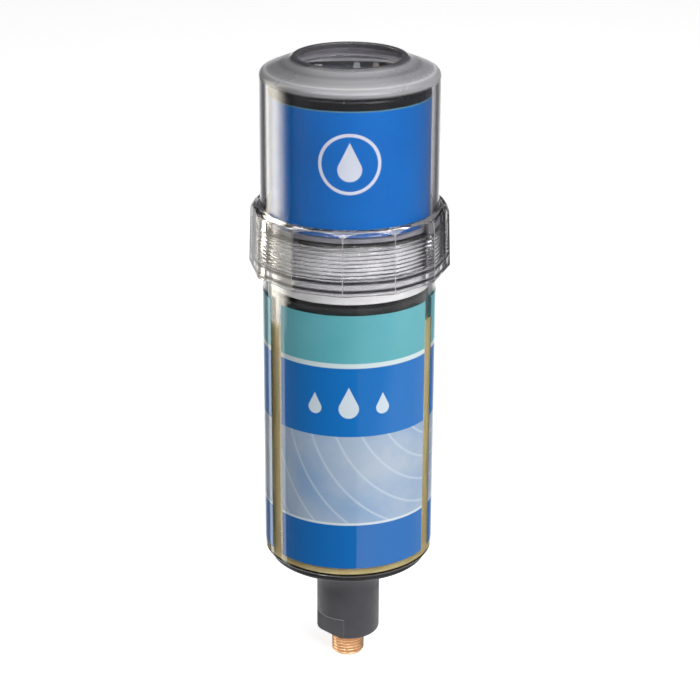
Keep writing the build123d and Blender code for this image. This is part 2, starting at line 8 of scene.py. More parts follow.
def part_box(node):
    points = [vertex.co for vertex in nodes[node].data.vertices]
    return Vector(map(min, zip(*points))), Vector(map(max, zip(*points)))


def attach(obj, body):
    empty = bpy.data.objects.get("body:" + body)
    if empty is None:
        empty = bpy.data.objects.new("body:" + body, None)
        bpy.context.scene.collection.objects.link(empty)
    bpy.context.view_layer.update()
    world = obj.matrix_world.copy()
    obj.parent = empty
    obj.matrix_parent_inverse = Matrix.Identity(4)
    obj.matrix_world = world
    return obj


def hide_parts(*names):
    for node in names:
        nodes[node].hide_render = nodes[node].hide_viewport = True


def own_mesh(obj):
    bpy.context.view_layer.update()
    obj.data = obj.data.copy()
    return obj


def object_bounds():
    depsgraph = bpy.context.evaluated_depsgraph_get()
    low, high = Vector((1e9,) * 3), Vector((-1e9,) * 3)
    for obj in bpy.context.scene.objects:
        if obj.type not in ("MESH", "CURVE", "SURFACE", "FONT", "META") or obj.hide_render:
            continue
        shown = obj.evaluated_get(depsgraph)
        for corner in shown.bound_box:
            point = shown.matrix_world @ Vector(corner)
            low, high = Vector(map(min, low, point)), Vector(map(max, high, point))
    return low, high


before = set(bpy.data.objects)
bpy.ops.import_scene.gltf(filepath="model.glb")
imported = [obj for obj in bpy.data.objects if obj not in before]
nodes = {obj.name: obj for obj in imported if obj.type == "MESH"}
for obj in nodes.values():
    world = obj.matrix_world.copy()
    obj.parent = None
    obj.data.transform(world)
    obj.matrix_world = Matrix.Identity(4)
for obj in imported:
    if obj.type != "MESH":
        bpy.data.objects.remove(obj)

# The automatic lubricator's looks: clear mouldings with real threads, printed labels, grease and metal,
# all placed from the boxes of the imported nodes. Lengths on the part are in millimetres, heights are above
# the lower face of the neck, and the studio round the part is in metres.
MM = 0.001
cad_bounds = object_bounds()

# What more than one piece uses: the radii of the walls that carry labels and of the canister's bore, and
# the form of each thread, as its pitch, its depth, and the root's and a flank's shares of the pitch.
canister_wall, canister_bore, drive_wall = 32.9, 30.3, 30.3
nut_thread_form, outlet_thread_form = (1.5, 0.4, 0.2, 0.35), (1.337, 0.856, 0.12, 0.32)


def level(node, end):
    """A node's lowest (0) or highest (1) place along Z, in millimetres."""
    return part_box(node)[end][2] / MM


def reach(node):
    """A node's largest radius, in millimetres."""
    low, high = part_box(node)
    return (high[0] - low[0]) / 2 / MM


# ---- Materials ----------------------------------------------------------------------------------------

def linear(code):
    """A hex colour as linear red, green, blue and alpha."""
    channels = [int(code[i:i + 2], 16) / 255 for i in (0, 2, 4)]
    return (*(c / 12.92 if c <= 0.04045 else ((c + 0.055) / 1.055) ** 2.4 for c in channels), 1)


def shaded(colour, share):
    """A linear colour, darkened to a share of its light."""
    return (*(c * share for c in colour[:3]), 1)


class Look:
    """A procedural material, built on one Principled shader. Its nodes work in millimetres and degrees."""

    def __init__(self, name, colour, roughness, settings=None):
        self.material = bpy.data.materials.new(name)
        self.material.use_nodes = True
        self.tree = self.material.node_tree
        self.shader = self.tree.nodes["Principled BSDF"]
        self.colour = linear(colour)
        self.feed(self.shader, {"Base Color": self.colour, "Roughness": roughness, **(settings or {})})

    def connect(self, value, socket):
        """Gives a socket a value, or links it to the output that makes one."""
        if isinstance(value, bpy.types.NodeSocket):
            self.tree.links.new(value, socket)
        else:
            socket.default_value = value

    def feed(self, node, inputs):
        for key, value in inputs.items():
            self.connect(value, node.inputs[key])

    def node(self, kind, inputs=None, **settings):
        made = self.tree.nodes.new("ShaderNode" + kind)
        for key, value in settings.items():
            setattr(made, key, value)
        self.feed(made, inputs or {})
        return made

    def maths(self, operation, *values):
        return self.node("Math", dict(enumerate(values)), operation=operation).outputs[0]

    def product(self, first, *others):
        for other in others:
            first = self.maths("MULTIPLY", first, other)
        return first

    def less(self, value):
        """What a value leaves of one."""
        return self.maths("SUBTRACT", 1.0, value)

    def distance(self, across, along):
        """How far a point is from the origin of two axes."""
        squares = [self.maths("POWER", value, 2.0) for value in (across, along)]
        return self.maths("SQRT", self.maths("ADD", *squares))

    def place(self):
        """X, Y and Z in millimetres."""
        coordinates = self.node("TexCoord").outputs["Object"]
        parts = self.node("SeparateXYZ", {0: coordinates}).outputs
        return [self.maths("MULTIPLY", part, 1 / MM) for part in parts]

    def azimuth(self, x, y):
        """The bearing of a place or direction from the front towards +X, in degrees."""
        return self.maths("MULTIPLY", self.maths("ARCTAN2", x, self.maths("MULTIPLY", y, -1.0)), 180 / pi)

    def noise(self, scale, detail=3.0, stretch=(1, 1, 1)):
        """Noise with about so many features to a metre, from 0 to 1 and mostly between 0.3 and 0.7."""
        coordinates = self.node("TexCoord").outputs["Object"]
        placed = self.node("Mapping", {"Vector": coordinates, "Scale": stretch}).outputs[0]
        return self.node("TexNoise", {"Vector": placed, "Scale": scale, "Detail": detail}).outputs["Fac"]

    def span(self, value, low, high, to_low=0.0, to_high=1.0, **settings):
        """The value carried from one range to another, and held at its ends."""
        return self.node("MapRange", {0: value, 1: low, 2: high, 3: to_low, 4: to_high}, **settings).outputs[0]

    def edge(self, value, place, soft=0.12):
        """0 below a place and 1 above it, with a soft step."""
        return self.span(value, place - soft, place + soft)

    def band(self, value, low, high, soft=0.12):
        """1 between two places and 0 outside them."""
        return self.product(self.edge(value, low, soft), self.less(self.edge(value, high, soft)))

    def mix(self, share, a, b):
        """Colour a where the share is 0 and b where it is 1."""
        made = self.node("Mix", data_type="RGBA")
        colours = [linear(c) if isinstance(c, str) else c for c in (a, b)]
        for value, socket in zip((share, *colours), (made.inputs[0], made.inputs[6], made.inputs[7])):
            self.connect(value, socket)
        return made.outputs[2]

    def paint(self, colour):
        self.feed(self.shader, {"Base Color": colour})

    def rough(self, noise, low, high):
        self.feed(self.shader, {"Roughness": self.span(noise, 0.3, 0.7, low, high)})

    def bump(self, height, distance, strength=1.0):
        made = self.node("Bump", {"Height": height, "Distance": distance * MM, "Strength": strength})
        self.feed(self.shader, {"Normal": made.outputs[0]})
        return self

    def lets_lamps_through(self, tint):
        """Rays from lamps pass straight through, so that what the clear piece holds is lit."""
        shadow = self.node("LightPath").outputs["Is Shadow Ray"]
        passes = self.node("BsdfTransparent", {"Color": linear(tint)}).outputs[0]
        both = self.node("MixShader", {0: shadow, 1: self.shader.outputs[0], 2: passes})
        self.connect(both.outputs[0], self.tree.nodes["Material Output"].inputs["Surface"])
        return self

    def darkens(self, tint, density):
        """Plastic that darkens with the length of a ray's way through it."""
        volume = self.node("VolumeAbsorption", {"Color": linear(tint), "Density": density}).outputs[0]
        self.connect(volume, self.tree.nodes["Material Output"].inputs["Volume"])
        return self


def moulded(name, colour, roughness, grain=0.02, shift=0.12):
    """Moulded plastic: a fine grain, a slight change of shade and of gloss."""
    look = Look(name, colour, roughness)
    cloud = look.noise(90, 4)
    look.paint(look.mix(look.span(cloud, 0.35, 0.65), look.colour, shaded(look.colour, 1 - shift)))
    look.rough(look.noise(400, 2), roughness - 0.06, roughness + 0.08)
    return look.bump(look.noise(2600), grain)


def turned_metal(name, colour, roughness):
    """Machined metal with fine turning marks round the axis, stained a little darker."""
    look = Look(name, colour, roughness, {"Metallic": 1.0})
    marks = look.noise(900, 2, (0.02, 0.02, 1.0))
    stain = look.noise(160)
    look.paint(look.mix(look.span(stain, 0.4, 0.75), look.colour, shaded(look.colour, 0.72)))
    look.rough(marks, roughness - 0.08, roughness + 0.12)
    return look.bump(marks, 0.01)


def clear_moulding(name, tint, roughness):
    """Clear plastic with the faint flow marks of moulding and a little handling haze."""
    look = Look(name, tint, roughness, {"Transmission Weight": 1.0, "IOR": 1.49})
    look.rough(look.noise(45, 5), roughness, roughness + 0.05)
    look.bump(look.noise(60, 2, (1, 1, 0.25)), 0.02, 0.6)
    return look.lets_lamps_through("FEFEFE")


def dress(look, *names):
    """Gives CAD nodes a look in place of the one they come with."""
    for name in names:
        node = nodes[name]
        node.data.materials.clear()
        node.data.materials.append(look.material)


# ---- Meshes -------------------------------------------------------------------------------------------

def sharpen(mesh, limit):
    """Smooth faces, with the edges above a limit in degrees left sharp."""
    shaped = bmesh.new()
    shaped.from_mesh(mesh)
    bmesh.ops.recalc_face_normals(shaped, faces=shaped.faces)
    for face in shaped.faces:
        face.smooth = True
    for line in shaped.edges:
        line.smooth = len(line.link_faces) == 2 and line.calc_face_angle() < radians(limit)
    shaped.to_mesh(mesh)
    shaped.free()


def piece(name, shape, look, body, slot, *replaced, limit=28.0):
    """A new piece that rides on a body, from a shape's points in millimetres and its faces."""
    points, faces = shape
    mesh = bpy.data.meshes.new(name)
    mesh.from_pydata([(x * MM, y * MM, z * MM) for x, y, z in points], [], faces)
    mesh.materials.append(look.material)
    sharpen(mesh, limit)
    made = bpy.data.objects.new(name, mesh)
    bpy.context.scene.collection.objects.link(made)
    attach(made, body)
    if replaced:
        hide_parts(*replaced)
    return made


def corners(*points):
    """An outline through (radius, height) points. A third number rounds that corner."""
    degrees_per_step = 9
    outline = []
    for i, point in enumerate(points):
        here = Vector(point[:2])
        if len(point) < 3:
            outline.append(tuple(here))
            continue
        before = (Vector(points[i - 1][:2]) - here).normalized()
        after = (Vector(points[(i + 1) % len(points)][:2]) - here).normalized()
        half = before.angle(after) / 2
        radius = point[2]
        centre = here + (before + after).normalized() * (radius / sin(half))
        start = here + before * (radius / tan(half)) - centre
        sweep = start.angle_signed(here + after * (radius / tan(half)) - centre)
        steps = max(3, int(abs(degrees(sweep)) / degrees_per_step))
        for step in range(steps + 1):
            turned = start.copy()
            turned.rotate(Matrix.Rotation(-sweep * step / steps, 2))
            outline.append(tuple(centre + turned))
    return outline


def denser(outline, gap, coarse=0.0, fine_from=0.0):
    """Adds points wherever two are further apart than a gap, which is coarse inside a radius."""
    shape = []
    for a, b in zip(outline, outline[1:] + outline[:1]):
        allowed = gap if min(a[0], b[0]) > fine_from else coarse
        count = max(1, int(hypot(b[0] - a[0], b[1] - a[1]) / allowed))
        shape += [(a[0] + (b[0] - a[0]) * i / count, a[1] + (b[1] - a[1]) * i / count) for i in range(count)]
    return shape


def loops(rows):
    """The points of rings of equal length and the faces between them, the last ring joined to the first."""
    faces = []
    count = len(rows[0])
    for i in range(len(rows)):
        here, there = i * count, ((i + 1) % len(rows)) * count
        for j in range(count):
            k = (j + 1) % count
            faces.append((here + j, here + k, there + k, there + j))
    return [point for row in rows for point in row], faces


def ring(angles, points):
    """A ring through one (radius, height) point for each angle."""
    return [(radius * cos(angle), radius * sin(angle), height) for angle, (radius, height) in zip(angles, points)]


def lathe(outline, count, thread=None):
    """A turned shape in so many steps. thread gives the radius of a (radius, height) point at an angle."""
    angles = [2 * pi * i / count for i in range(count)]
    return loops([ring(angles, [(thread(radius, height, a) if thread else radius, height) for a in angles])
                  for radius, height in outline])


def helix(low, high, pitch, depth, root, flank):
    """How deep a right-handed thread's groove is at a height and angle, fading out at both ends.

    root and flank are shares of the pitch: of the flat along the groove, and of the slope on either side.
    """
    def groove(height, angle):
        phase = ((height - low) / pitch - angle / (2 * pi)) % 1
        wave = min(1, max(0, (abs(phase - 0.5) * 2 - root) / (2 * flank)))
        ends = min(1, max(0, (height - low) / pitch * 2), max(0, (high - height) / pitch * 2))
        return depth * (1 - wave) * ends
    return groove


# ---- Looks --------------------------------------------------------------------------------------------

def grease_look():
    """Grease: soft amber, streaked where the filling nozzle laid it."""
    look = Look("grease", "B5A476", 0.32, {"Subsurface Weight": 0.12, "Subsurface Scale": 0.004, "Coat Weight": 0.2})
    folds = look.noise(70, 4, (1, 1, 0.35))
    look.paint(look.mix(look.span(folds, 0.3, 0.7), "BDAC7E", "A2925F"))
    return look.bump(folds, 0.15, 0.5)


def board_look():
    """A circuit board: green solder mask over a net of tracks."""
    look = Look("solder_mask", "1E5B3A", 0.35, {"Coat Weight": 0.4})
    net = look.node("TexVoronoi", {"Vector": look.node("TexCoord").outputs["Object"], "Scale": 420.0},
                    feature="DISTANCE_TO_EDGE").outputs["Distance"]
    tracks = look.span(net, 0.03, 0.06)
    look.paint(look.mix(tracks, "2F7A50", "1B5234"))
    return look.bump(tracks, 0.02)


def cell_look():
    """A battery cell's wrap: dark, with a copper-coloured top, scuffed in places."""
    look = Look("cell_wrap", "7C8288", 0.3, {"Metallic": 0.4, "Coat Weight": 0.6, "Coat Roughness": 0.12})
    top_field = 12.0
    height = look.place()[2]
    wear = look.noise(300)
    wrap = look.mix(look.edge(height, level("battery_cell_1", 1) - top_field), "35393F", "C7A24A")
    look.paint(look.mix(look.span(wear, 0.62, 0.8), wrap, "8A8D92"))
    look.rough(wear, 0.22, 0.4)
    return look


def lens_look(name, colour, glow):
    """A light's frosted lens."""
    look = Look(name, colour, 0.3, {"Transmission Weight": 0.1, "Subsurface Weight": 0.3, "Subsurface Scale": 0.002,
                                    "Coat Weight": 0.6})
    frost = look.noise(900)
    look.paint(look.mix(look.span(frost, 0.3, 0.7), colour, glow))
    return look.bump(frost, 0.02)


def around_front(look, radius):
    """How far round the front a point of a wrap is, in millimetres, with its height."""
    x, y, z = look.place()
    return look.maths("MULTIPLY", look.azimuth(x, y), radians(radius)), z


def disc(look, side, height, at_side, at_height):
    """How far a point of the print is from a place on it."""
    return look.distance(look.maths("SUBTRACT", side, at_side), look.maths("SUBTRACT", height, at_height))


def drop_mark(look, side, height, at_side, at_height, size):
    """A plain drop: a round foot of a radius, under a top that is pointed 2.3 radii up."""
    shoulder, tip, shoulder_width = 0.35 * size, 2.3 * size, 0.94 * size
    foot = look.less(look.edge(disc(look, side, height, at_side, at_height), size, 0.15))
    rise = look.maths("SUBTRACT", height, at_height)
    half_width = look.span(rise, shoulder, tip, shoulder_width, 0.0)
    across = look.maths("ABSOLUTE", look.maths("SUBTRACT", side, at_side))
    inside = look.edge(look.maths("SUBTRACT", half_width, across), 0.0)
    return look.maths("MAXIMUM", foot, look.product(inside, look.band(rise, shoulder, tip)))


def print_finish(look, coat=0.8):
    """Ink under a glossy film that isn't quite flat."""
    look.feed(look.shader, {"Coat Weight": coat, "Coat Roughness": 0.03, "Specular IOR Level": 0.12})
    look.rough(look.noise(700), 0.3, 0.42)
    return look.bump(look.noise(30), 0.03, 0.35)


def canister_print():
    """The canister's label: fields of teal, blue and pale blue, with arcs and drops of its own."""
    look = Look("canister_label", "0A72C2", 0.35)
    line_from, pale_from, blue_from, white_from, teal_from = 61.2, 62.0, 98.15, 125.8, 127.7
    arc_centre, arc_gap, arc_share = (46.0, 118.0), 9.0, 0.1
    drops_height, drops = 109.5, ((-13.0, 2.6), (0.0, 3.8), (13.0, 2.6))
    side, height = around_front(look, canister_wall)
    cloud = look.noise(38, 4)
    pale = look.mix(look.span(cloud, 0.35, 0.65), "8FAFD4", "B9C8DA")
    turns = look.maths("FRACT", look.maths("DIVIDE", disc(look, side, height, *arc_centre), arc_gap))
    pale = look.mix(look.product(look.band(turns, 0.0, arc_share, 0.03), 0.55), pale, "D4E2EE")
    teal = look.mix(look.span(cloud, 0.3, 0.7), "5DB3BE", "6BBBC6")
    colour = look.mix(look.edge(height, pale_from), "006EC0", pale)
    colour = look.mix(look.band(height, line_from, line_from + 1.0), colour, "DDE8EF")
    for field_from, field in ((blue_from, "0074C8"), (white_from, "DCECEF"), (teal_from, teal)):
        colour = look.mix(look.edge(height, field_from), colour, field)
    for at_side, size in drops:
        colour = look.mix(drop_mark(look, side, height, at_side, drops_height, size), colour, "DCEAF4")
    look.paint(colour)
    return print_finish(look)


def drive_print():
    """The drive's label: one blue field with a drop in a ring, and a thin line along its top."""
    look = Look("drive_label", "0B76CE", 0.35)
    side, height = around_front(look, drive_wall)
    low, high = level("drive_label", 0), level("drive_label", 1)
    middle = (low + high) / 2
    ring_height, ring_inside, ring_outside = middle + 4.0, 10.2, 11.4
    drop_height, drop_size = middle + 1.9, 4.4
    colour = look.mix(look.span(look.noise(30), 0.3, 0.7), "006DC4", "0074CE")
    away = disc(look, side, height, 0.0, ring_height)
    colour = look.mix(look.band(away, ring_inside, ring_outside), colour, "E6ECF4")
    colour = look.mix(drop_mark(look, side, height, 0.0, drop_height, drop_size), colour, "E6ECF4")
    look.paint(look.mix(look.edge(height, high - 0.5, 0.1), colour, "5E8E9E"))
    return print_finish(look)


def panel_print():
    """The control panel: navy, with a circle and a scale of twelve ticks round the dial."""
    look = Look("control_panel", "1B2B50", 0.4)
    ticks_inside, ticks_outside, circle_inside, circle_outside = 8.2, 10.0, 7.5, 7.8
    x, y, z = look.place()
    dial_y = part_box("time_dial")[0][1] / MM + reach("time_dial")
    up = look.maths("SUBTRACT", y, dial_y)
    away = look.distance(x, up)
    wave = look.maths("ABSOLUTE", look.maths("SINE", look.maths("MULTIPLY", look.maths("ARCTAN2", up, x), 6.0)))
    ticks = look.product(look.band(away, ticks_inside, ticks_outside, 0.08), look.span(wave, 0.16, 0.10))
    colour = look.mix(look.span(look.noise(60), 0.3, 0.7), "1B2A50", "16233F")
    colour = look.mix(ticks, colour, "D8DEE6")
    look.paint(look.mix(look.band(away, circle_inside, circle_outside, 0.06), colour, "D8DEE6"))
    return print_finish(look, 0.5)


def outlet_look():
    """The outlet's moulding: a grey neck with painted light up its flare, painted shade on the darker flange above,
    and the edges of its flats painted pale as highlights.
    """
    look = moulded("outlet_moulding", "48474C", 0.42)
    neck, flat, flat_bearing, flat_low, flat_top = 12.5, 10.0, -45.0, 1.2, 8.8
    flare_low, flare_high, flange = 27.5, 34.0, 35.7
    x, y, z = look.place()
    grain = look.mix(look.span(look.noise(90, 4), 0.35, 0.65), "48474C", "424146")
    # Painted light: the neck is painted lighter up its flare to the flange, as if lit from the floor below.
    flare = look.span(z, flare_low, flare_high, interpolation_type="SMOOTHSTEP")
    colour = look.mix(flare, grain, "A8A6AC")
    # Painted shade: the flange is painted near black, as if shaded from the light above.
    colour = look.mix(look.edge(z, flange, 0.3), colour, "242124")
    half_flat = degrees(acos(flat / neck))
    from_flat = look.maths("ABSOLUTE", look.maths("SUBTRACT", look.azimuth(x, y), flat_bearing))
    on_skin = look.edge(look.distance(x, y), neck - 0.25, 0.1)
    # Painted highlights: a pale line along the top of each flat and down its upright edge.
    ledge = look.product(look.band(z, flat_top - 0.05, flat_top + 0.35, 0.1),
                         look.less(look.edge(from_flat, half_flat, 0.5)))
    upright = look.product(look.band(from_flat, half_flat - 0.4, half_flat + 1.0, 0.4),
                           look.band(z, flat_low, flat_top, 0.1), 0.35)
    painted_edge_highlight = look.product(look.maths("MAXIMUM", ledge, upright), on_skin)
    look.paint(look.mix(painted_edge_highlight, colour, "8E8C92"))
    return look


brass = turned_metal("turned_brass", "ECC59F", 0.3)

dress(outlet_look(), "outlet_base")
dress(canister_print(), "front_label", "rear_label")
dress(moulded("seal_rubber", "1B1A1B", 0.62, 0.03, 0.2), "outlet_seal", "piston_seal", "drive_seal", "cover_gasket")
dress(moulded("piston_moulding", "1A1A1C", 0.4), "piston")
dress(moulded("grey_moulding", "DAD7DA", 0.38), "drive_base", "spindle")
dress(brass, "output_bush", "motor_pinion")
dress(moulded("gear_moulding", "E9E6DC", 0.35), "output_gear", "reduction_gear")
dress(turned_metal("turned_steel", "B4B5B8", 0.3), "gear_axle", "plate_screws", "board_screws")
dress(moulded("cradle_moulding", "26262A", 0.5), "gear_plate", "battery_cradle")
dress(turned_metal("plated_steel", "C8C9CA", 0.22), "gearhead", "drive_motor")
dress(turned_metal("nickel_strip", "D2CFC4", 0.25),
      "lower_contact", "lower_end_contact", "upper_contact", "upper_end_contact")
dress(board_look(), "circuit_board")
dress(cell_look(), "battery_cell_1", "battery_cell_2", "battery_cell_3")
dress(moulded("housing_moulding", "17171B", 0.32), "drive_housing")
dress(drive_print(), "drive_label")
dress(panel_print(), "control_panel")
dress(moulded("dial_moulding", "43454C", 0.42), "time_dial")
dress(moulded("switch_moulding", "F0F0EE", 0.35), "volume_switch")
dress(lens_look("green_lens", "DCE8DE", "F2F6F2"), "green_light")
dress(lens_look("yellow_lens", "ECE7D8", "F7F4EC"), "yellow_light")
dress(lens_look("red_lens", "C8443C", "F0B0A8"), "red_light")

# ---- Outlet -------------------------------------------------------------------------------------------

thread_radius, thread_chamfer, grease_bore = 6.5785, 0.8, 3.5
insert_radius = reach("outlet_nipple")
nipple_low, nipple_high = level("outlet_nipple", 0), level("outlet_nipple", 1)
taper = 1 / 64
thread_top = -0.2
outlet_groove = helix(nipple_low + 0.2, thread_top - 0.2, *outlet_thread_form)


def nipple_thread(radius, height, angle):
    """The radius below the neck, with the thread cut and the taper taken off."""
    if height > thread_top or radius < thread_radius - 1:
        return radius
    return radius - outlet_groove(height, angle) + taper * height


outline = corners(
    (grease_bore, nipple_low, 0.3), (thread_radius - thread_chamfer, nipple_low),
    (thread_radius, nipple_low + thread_chamfer), (thread_radius, 0), (insert_radius, 0),
    (insert_radius, nipple_high), (grease_bore, nipple_high),
)
piece("threaded_nipple", lathe(denser(outline, 0.11), 96, nipple_thread), brass, "canister", "brass_outlet",
      "outlet_nipple", limit=50)

# ---- Canister and grease ------------------------------------------------------------------------------

spout, spout_bore, spout_height = 10, 8, 12.5
spout_low, mouth = level("canister", 0), level("canister", 1)
canister_low = spout_low + spout_height
floor_top = canister_low + 0.8
underside = canister_low + 0.03  # the air under the floor mirrors the grease
collar, collar_low = reach("canister"), mouth - 12.4
collar_from, collar_slope = canister_wall + 1, 1.6
collar_groove = helix(collar_low + 0.2, mouth - 0.6, *nut_thread_form)


def canister_thread(radius, height, angle):
    """The radius with the collar's thread cut."""
    return radius - collar_groove(height, angle) if radius > collar_from and height > collar_low else radius


outline = corners(
    (spout_bore, spout_low), (spout, spout_low), (spout, underside), (canister_wall, underside, 1.2),
    (canister_wall, collar_low - collar_slope), (collar, collar_low), (collar, mouth, 0.3),
    (canister_bore, mouth), (canister_bore, floor_top, 0.4), (spout_bore, floor_top),
)
piece("clear_canister", lathe(denser(outline, 0.16, 20, collar_from), 160, canister_thread),
      clear_moulding("canister_plastic", "FAFBFA", 0.02), "canister", "clear_canister", "canister", limit=40)

# The grease wets the canister, with no air between them. It gives up the length that the piston travels.
spindle_bore = 4.1
grease_high = level("grease_fill", 1)
wetted, grease_floor, grease_top = canister_bore + 0.03, floor_top - 0.03, grease_high - 0.05
outline = corners((spindle_bore, grease_floor), (wetted, grease_floor, 0.4), (wetted, grease_top),
                  (spindle_bore, grease_top))
grease = piece("grease", lathe(denser(outline, 4), 128), grease_look(), "canister", "grease", "grease_fill")
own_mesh(grease)

# ---- Cover --------------------------------------------------------------------------------------------

gasket_top, rim_top = level("cover_gasket", 1), level("cover", 1)
foot, low_wall, high_wall, thick = 34.5, 33.7, 33.55, 1.8
foot_top = gasket_top + 3.0
corner_z = rim_top - 5.7
rim, recess, recess_top = 21.2, 19.3, rim_top - 4.85
flare, flare_z = rim + 1.8, rim_top - 1.35
axis = 0.01
outline = corners(
    (axis, recess_top), (recess, recess_top, 0.3), (recess, rim_top, 0.47), (rim, rim_top, 0.47),
    (flare, flare_z, 3.0), (high_wall, corner_z, 2.2), (low_wall, foot_top), (foot, foot_top), (foot, gasket_top),
    (low_wall - thick, gasket_top), (high_wall - thick, corner_z - thick / 2, 1.1),
    (recess + thick, flare_z - thick / 2), (recess + thick, recess_top - thick), (axis, recess_top - thick),
)


def cover_look():
    """The cover's smoky plastic, hazy on the shoulder, dark on the rim and under the recess, with rings of painted
    shade and painted reflection on the shoulder.
    """
    look = clear_moulding("cover_plastic", "F6F6F7", 0.015).darkens("B4B2B8", 230.0)
    # Rings painted on the shoulder: a darker ring as painted shade near the rim, and a lighter band and a thin light
    # ring outside it as painted reflections.
    painted_shade_ring, painted_highlight_ring = (rim + 3.4, rim + 5.2), (high_wall - 2.6, high_wall - 1.7)
    painted_sheen_band = (rim + 8.8, high_wall - 1.2)
    x, y, z = look.place()
    away = look.distance(x, y)
    on_shoulder = look.edge(z, corner_z - 1.6, 0.9)
    on_rim = look.less(look.edge(away, rim + 0.9, 0.5))
    on_floor = look.less(look.edge(away, recess - 0.5, 0.2))
    # Painted light and shade: the shoulder's grey with its painted rings.
    painted_ring_shading = look.mix(look.band(away, *painted_sheen_band, 1.0), "B8B7BB", "D2D1D4")
    painted_ring_shading = look.mix(look.band(away, *painted_shade_ring, 0.8), painted_ring_shading, "98979C")
    painted_ring_shading = look.mix(look.band(away, *painted_highlight_ring, 0.3), painted_ring_shading, "F6F6F8")
    colour = look.mix(on_shoulder, "F6F6F7", painted_ring_shading)
    colour = look.mix(on_rim, colour, "A5A3A9")
    look.paint(look.mix(on_floor, colour, "F2F2F6"))
    hazy = look.product(on_shoulder, look.less(on_rim))
    clear = look.maths("SUBTRACT", look.span(hazy, 0.0, 1.0, 1.0, 0.3), look.product(on_rim, 0.2))
    clear = look.maths("ADD", clear, look.product(on_floor, 0.2))
    gloss = look.maths("ADD", look.span(look.noise(45, 5), 0.3, 0.7, 0.015, 0.065), look.product(hazy, 0.25))
    look.feed(look.shader, {"Transmission Weight": clear, "Roughness": gloss})
    return look


piece("clear_cover", lathe(outline, 192), cover_look(), "cover", "smoky_cover", "cover", limit=35)

# ---- Union nut ----------------------------------------------------------------------------------------

nut_low, nut_top = level("union_nut", 0), level("union_nut", 1)
sides, corner_radius, edge_round, side_slope = 12, 38.253, 0.8, tan(radians(2.0))
nut_turn, half_side = radians(-3.75 - 90), pi / sides
bevel_top, bevel_width = nut_low + 0.8, 0.41
hole, hole_low = 33.95, nut_top - 2.3
bore_radius = collar + 0.25
lead_top, lead_radius = nut_low + 4.2, bore_radius + 0.6
nut_groove = helix(lead_top + 0.4, hole_low - 3.5, *nut_thread_form)
# The points of a side, in degrees from its first corner, closest where the corner is round.
side_points = (-0.32, -0.16, 0, 0.16, 0.32, 1.0, *range(2, 29, 2), 29.0)
nut_angles = [nut_turn + number * 2 * half_side + radians(a) for number in range(sides) for a in side_points]


def around_nut(radius, angle):
    """The rounded polygon's radius at an angle, for a given radius at its corners."""
    away = abs((angle - nut_turn + half_side) % (2 * half_side) - half_side)
    flat = radius * cos(half_side)
    centre = (flat - edge_round) / cos(half_side)
    if away < atan2(edge_round * sin(half_side), centre + edge_round * cos(half_side)):
        return centre * cos(away) + sqrt(max(0, edge_round ** 2 - (centre * sin(away)) ** 2))
    return flat / cos(half_side - away)


def corner_at(height):
    """The tapered radius at the corners."""
    return corner_radius - (height - bevel_top) * side_slope


# The turned shoulder is an arc of a radius, which starts a drop below the top at the corners. Its centre
# lies as far in from the corner as it lies below the top.
drop, shoulder = 3.2, 3.3
inset = drop / 2 + sqrt(shoulder ** 2 - drop ** 2 / 2) / sqrt(2)
arc_radius, arc_height = corner_at(nut_top - drop) - inset, nut_top - inset
arc_end = asin(inset / shoulder)


def on_arc(turn):
    """The radius and height of a place on the shoulder's arc."""
    return arc_radius + shoulder * cos(turn), arc_height + shoulder * sin(turn)


def crease(angle):
    """How far up the arc it meets the nut's side, as an angle at the arc's centre."""
    low, high = asin((inset - drop) / shoulder), arc_end
    for _ in range(24):
        middle = (low + high) / 2
        radius, height = on_arc(middle)
        low, high = (middle, high) if radius > around_nut(corner_at(height), angle) else (low, middle)
    return low


def nut_rows():
    """The nut's rings: up its sides, over the shoulder, down the hole and the threaded bore."""
    side_steps, arc_steps, bore_steps = 10, 12, 120
    creases = [crease(a) for a in nut_angles]
    outlines = [[(around_nut(corner_radius - bevel_width, a), nut_low) for a in nut_angles]]
    for share in (i / side_steps for i in range(side_steps + 1)):
        heights = [bevel_top + share * (on_arc(c)[1] - bevel_top) for c in creases]
        outlines.append([(around_nut(corner_at(z), a), z) for a, z in zip(nut_angles, heights)])
    for share in (i / arc_steps for i in range(1, arc_steps + 1)):
        outlines.append([on_arc(c + share * (arc_end - c)) for c in creases])
    outlines += [[point] * len(nut_angles) for point in ((hole, nut_top), (hole, hole_low), (bore_radius, hole_low))]
    for share in (i / bore_steps for i in range(1, bore_steps + 1)):
        height = hole_low - (hole_low - lead_top) * share
        outlines.append([(bore_radius + nut_groove(height, a), height) for a in nut_angles])
    outlines += [[(lead_radius, height)] * len(nut_angles) for height in (lead_top, nut_low)]
    return [ring(nut_angles, points) for points in outlines]


